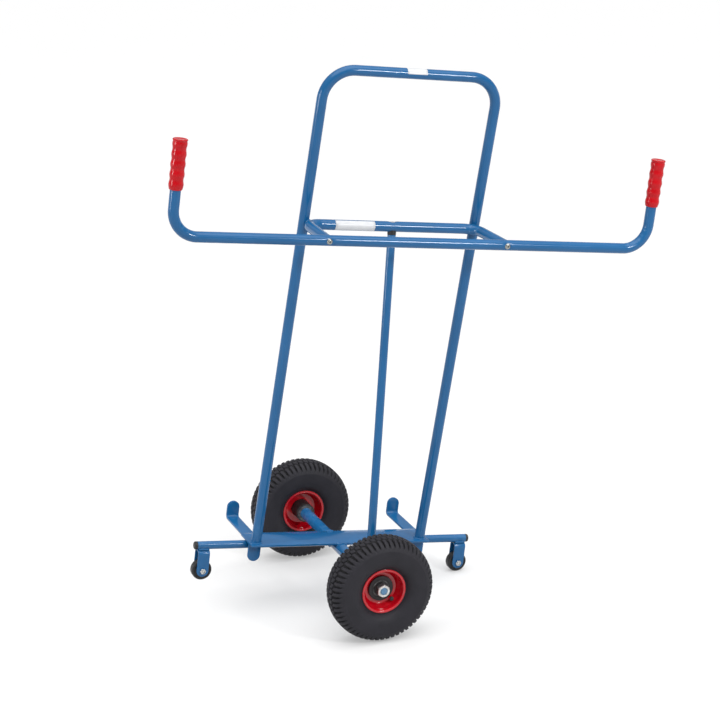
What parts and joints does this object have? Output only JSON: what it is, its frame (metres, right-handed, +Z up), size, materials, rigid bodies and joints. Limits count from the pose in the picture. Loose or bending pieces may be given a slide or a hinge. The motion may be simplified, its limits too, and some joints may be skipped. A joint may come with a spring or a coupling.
{
  "type": "panel hand truck",
  "caption": "Tube-framed hand truck for boards on edge, with a leaning hoop, a wide handlebar with upturned grips, pneumatic wheels on a cross axle and fixed end castors.",
  "frame": {"origin": "on the floor under the middle of the axle, midway between the two wheels", "axes": "+X along the truck towards the castor that it is parked on, +Y away from the operator along the axle, +Z up from the floor"},
  "size_m": [1.2313, 0.63, 1.3545],
  "materials": {
    "frame_paint": "glossy blue powder coat",
    "grip_red": "soft red vinyl",
    "rim_paint": "glossy red paint",
    "tyre_rubber": "matt dark grey rubber",
    "tube_rubber": "black rubber",
    "black_plastic": "black moulded plastic",
    "castor_plastic": "black moulded plastic",
    "zinc_steel": "bright zinc plate",
    "black_steel": "blackened steel",
    "inner_steel": "plain steel"
  },
  "bodies": {
    "frame": {"hoop_frame": "frame_paint", "bracket_tube": "frame_paint", "handlebar": "frame_paint", "brace_strut": "frame_paint", "castor_bar": "frame_paint", "axle_tube": "frame_paint", "panel_shelf": "frame_paint", "castor_fork_left": "frame_paint", "castor_fork_right": "frame_paint", "stub_axle_near": "frame_paint", "stub_axle_far": "frame_paint", "grip_left": "grip_red", "grip_right": "grip_red", "bar_end_caps": "black_plastic", "strut_plug": "black_plastic", "handlebar_screws": "zinc_steel", "strut_screw": "zinc_steel", "axle_nuts": "zinc_steel", "castor_bolts": "zinc_steel", "castor_nuts": "zinc_steel", "axle_washers": "black_steel", "bracket_inserts": "inner_steel", "castor_sleeves": "inner_steel"},
    "near_wheel": {"tyre_near": "tyre_rubber", "inner_tube_near": "tube_rubber", "valve_near": "tube_rubber", "rim_outer_near": "rim_paint", "rim_inner_near": "rim_paint", "hub_near": "black_plastic", "bearings_near": "inner_steel"},
    "far_wheel": {"tyre_far": "tyre_rubber", "inner_tube_far": "tube_rubber", "valve_far": "tube_rubber", "rim_outer_far": "rim_paint", "rim_inner_far": "rim_paint", "hub_far": "black_plastic", "bearings_far": "inner_steel"},
    "left_castor": {"castor_wheel_left": "castor_plastic", "castor_bush_left": "castor_plastic"},
    "right_castor": {"castor_wheel_right": "castor_plastic", "castor_bush_right": "castor_plastic"}
  },
  "joints": [
    {"name": "near_wheel_spin", "type": "hinge", "parent": "frame", "child": "near_wheel", "pos_m": [0, -0.2725, 0.13], "axis": [0, 1, 0], "continuous": true},
    {"name": "far_wheel_spin", "type": "hinge", "parent": "frame", "child": "far_wheel", "pos_m": [0, 0.2725, 0.13], "axis": [0, 1, 0], "continuous": true},
    {"name": "left_castor_spin", "type": "hinge", "parent": "frame", "child": "left_castor", "pos_m": [-0.34908, 0.028, 0.11199], "axis": [0, 1, 0], "continuous": true},
    {"name": "right_castor_spin", "type": "hinge", "parent": "frame", "child": "right_castor", "pos_m": [0.3334, 0.028, 0.025], "axis": [0, 1, 0], "continuous": true}
  ]
}
